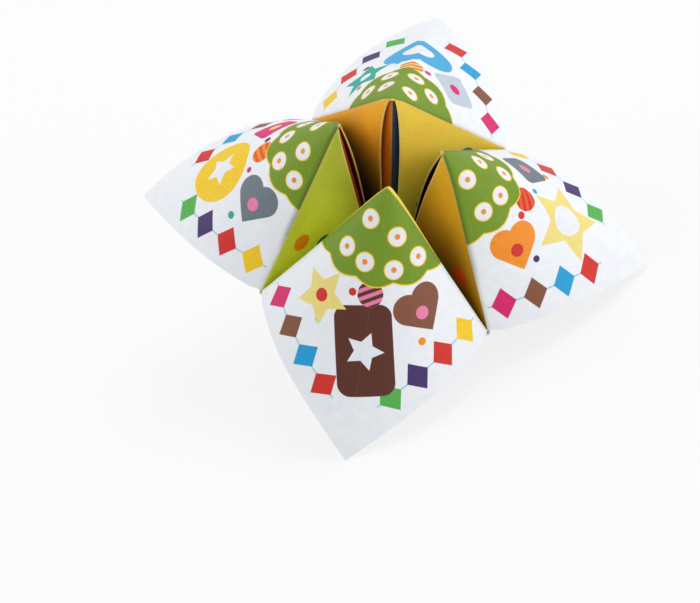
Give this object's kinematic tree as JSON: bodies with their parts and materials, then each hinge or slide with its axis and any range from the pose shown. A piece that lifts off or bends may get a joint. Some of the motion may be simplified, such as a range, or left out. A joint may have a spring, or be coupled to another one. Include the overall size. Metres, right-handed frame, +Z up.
{
  "type": "paper fortune teller",
  "caption": "Folded paper fortune teller, half open, with finger pockets under pointed flaps and a printed inside, lying tipped on its base point and flap corners.",
  "frame": {"origin": "centre of the bounding box on the ground it lies on", "axes": "+Z up from the ground, +X along the line between the two flap corners that it rests on, +Y away from that line towards the raised flaps"},
  "size_m": [0.0962, 0.0874, 0.0686],
  "materials": {
    "paper": "matte printed paper"
  },
  "bodies": {
    "root": {"folded_sheet": "paper"}
  },
  "joints": []
}
